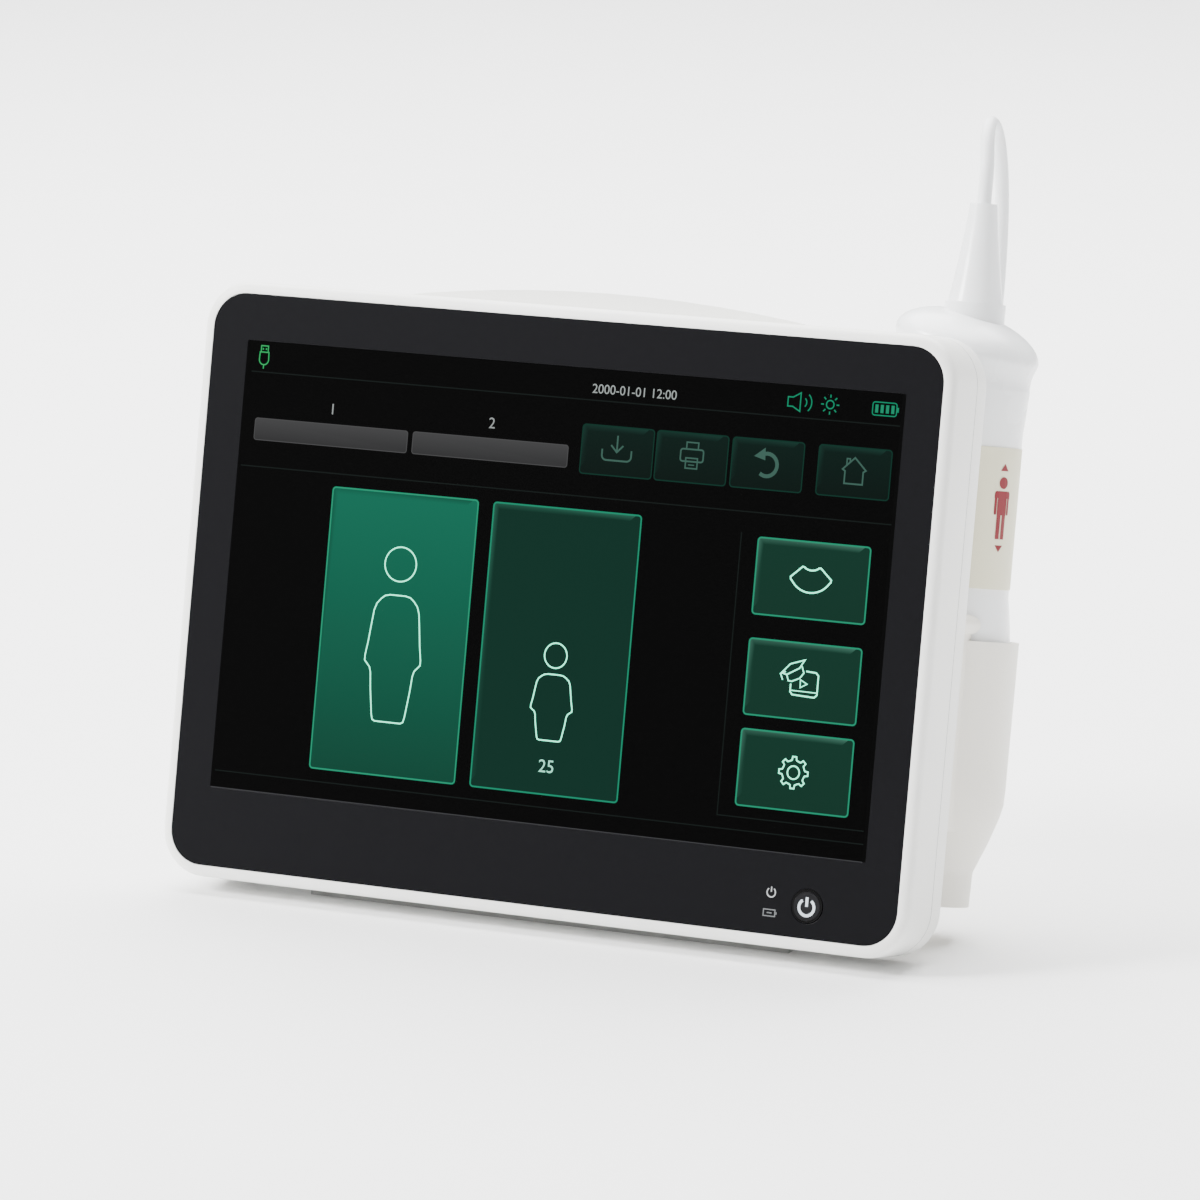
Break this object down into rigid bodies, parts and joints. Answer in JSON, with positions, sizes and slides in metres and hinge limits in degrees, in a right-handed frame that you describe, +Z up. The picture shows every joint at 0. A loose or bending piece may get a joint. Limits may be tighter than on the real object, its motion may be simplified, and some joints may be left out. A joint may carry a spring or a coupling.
{
  "type": "bladder scanner",
  "caption": "Leaning touch-screen console on a fold-out stand, with a corded ultrasound probe lifting out of a side holster.",
  "frame": {"origin": "middle of the console's foot strip, on the table", "axes": "+Z up, +X to the right of a viewer of the screen, +Y away from the viewer; the front leans back 11 degrees"},
  "size_m": [0.2536, 0.1259, 0.2377],
  "materials": {
    "case_white": "satin",
    "black_glass": "polished",
    "foam_black": "matte",
    "screen_black": "polished",
    "cast_metal": "cast",
    "screw_steel": "brushed",
    "board_green": "satin",
    "clear_plastic": "polished",
    "trim_metal": "satin",
    "dark_plastic": "satin",
    "battery_blue": "satin",
    "insert_brass": "machined",
    "port_metal": "satin",
    "foot_rubber": "matte",
    "holster_white": "satin",
    "cable_white": "satin",
    "plug_grey": "satin",
    "relief_rubber": "matte",
    "cap_black": "satin",
    "probe_white": "satin",
    "label_cream": "satin",
    "dome_grey": "satin"
  },
  "bodies": {
    "console": {"front_bezel": "case_white", "cover_glass": "black_glass", "display_gasket": "foam_black", "lcd_panel": "screen_black", "chassis": "cast_metal", "chassis_screws": "screw_steel", "main_board": "board_green", "board_screws": "screw_steel", "button_board": "board_green", "light_pipes": "clear_plastic", "button_ring": "trim_metal", "rear_shell": "case_white", "case_screws": "screw_steel", "speaker": "dark_plastic", "battery_pack": "battery_blue", "battery_door": "case_white", "door_screws": "screw_steel", "wall_mount_inserts": "insert_brass", "port_board": "board_green", "usb_port": "port_metal", "power_inlet": "dark_plastic", "probe_socket": "port_metal", "stand_pin": "screw_steel", "foot_strip": "foot_rubber", "holster_cup": "holster_white", "holster_screws": "screw_steel", "cord_lower": "cable_white", "cord_coil": "cable_white", "cord_tail": "cable_white", "probe_plug": "plug_grey", "plug_relief": "relief_rubber"},
    "power_button": {"power_cap": "cap_black"},
    "stand": {"stand_leg": "case_white", "stand_foot": "foot_rubber"},
    "probe": {"probe_handle": "probe_white", "probe_shoulder": "probe_white", "probe_collar": "probe_white", "probe_relief": "cable_white", "probe_label": "label_cream", "probe_head": "dome_grey", "head_seal": "foot_rubber", "transducer": "insert_brass", "transducer_mount": "dark_plastic", "probe_board": "board_green", "cord_upper": "cable_white"}
  },
  "joints": [
    {"name": "power_button_press", "type": "slide", "parent": "console", "child": "power_button", "axis": [0, 0.9816, -0.1908], "range_m": [0, 0.001], "stiffness_N_per_m": 800, "springref_m": -0.0005},
    {"name": "stand_fold", "type": "hinge", "parent": "console", "child": "stand", "pos_m": [0, 0.03943, 0.07211], "axis": [-1, 0, 0], "range_deg": [0, 29]},
    {"name": "probe_lift", "type": "slide", "parent": "console", "child": "probe", "axis": [0, 0.1908, 0.9816], "range_m": [0, 0.068]}
  ]
}
